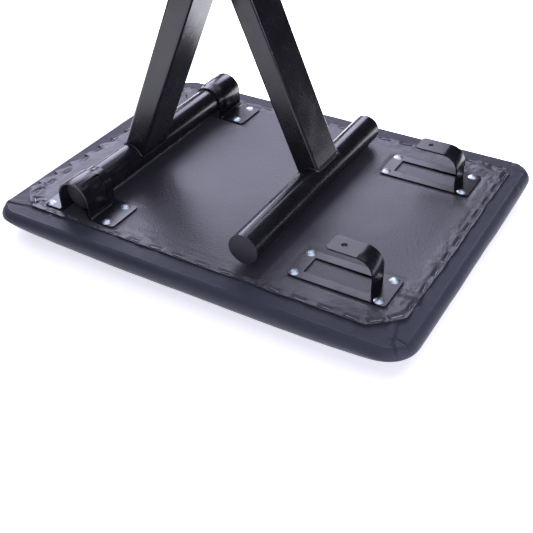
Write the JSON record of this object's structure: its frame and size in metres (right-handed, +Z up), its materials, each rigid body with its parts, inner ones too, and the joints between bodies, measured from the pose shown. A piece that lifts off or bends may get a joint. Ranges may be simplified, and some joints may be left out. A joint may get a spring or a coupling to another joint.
{
  "type": "folding x-frame padded board",
  "caption": "Padded rectangular board carried on a folding X frame of rectangular tube, stored face down with its clamps, hooks and legs uppermost.",
  "frame": {"origin": "middle of the padded face, on the surface that the part rests on", "axes": "+Z up, from the padded face to the feet; +X along the board, from the clamps to the hooks; +Y along the crossbars"},
  "size_m": [0.424, 0.322, 0.5317],
  "materials": {
    "cover_vinyl": "fine-grained coated fabric, satin",
    "dust_cloth": "thin matt-sheen backing vinyl",
    "foam": "open-cell foam",
    "board_wood": "raw plywood",
    "black_paint": "satin black powder coat",
    "zinc": "bright zinc plate",
    "staple_steel": "galvanised wire",
    "black_plastic": "moulded nylon",
    "foot_rubber": "moulded rubber"
  },
  "bodies": {
    "seat": {"seat_board": "board_wood", "foam_pad": "foam", "seat_cover": "cover_vinyl", "dust_cover": "dust_cloth", "cover_staples": "staple_steel", "dust_cover_staples": "staple_steel", "clamp_near": "black_paint", "clamp_far": "black_paint", "bar_saddle_near": "black_plastic", "bar_saddle_far": "black_plastic", "clamp_screws": "zinc", "hook_near": "black_paint", "hook_far": "black_paint", "hook_screws": "zinc"},
    "leg_a": {"leg_a_tube": "black_paint", "bar_a": "black_paint", "bar_a_caps": "black_plastic", "foot_bar_a": "black_paint", "foot_caps_a": "foot_rubber", "welds_a": "black_paint", "pivot_bolt": "zinc", "pivot_washer_near": "zinc", "pivot_washer_far": "zinc", "pivot_spacer": "black_plastic", "pivot_nut": "zinc", "pivot_sleeve_a": "zinc"},
    "leg_b": {"leg_b_tube": "black_paint", "bar_b": "black_paint", "bar_b_plugs": "black_plastic", "foot_bar_b": "black_paint", "foot_caps_b": "foot_rubber", "welds_b": "black_paint", "pivot_sleeve_b": "zinc"}
  },
  "joints": [
    {"name": "fold", "type": "hinge", "parent": "seat", "child": "leg_a", "pos_m": [-0.1323, 0, 0.0474], "axis": [0, 1, 0], "range_deg": [-18, 14.7]},
    {"name": "scissor", "type": "hinge", "parent": "leg_a", "child": "leg_b", "pos_m": [-0.04402, 0, 0.24946], "axis": [0, 1, 0], "range_deg": [-29.4, 36]}
  ],
  "couplings": [
    {"joint": "scissor", "follows": "fold", "ratio": -2}
  ]
}
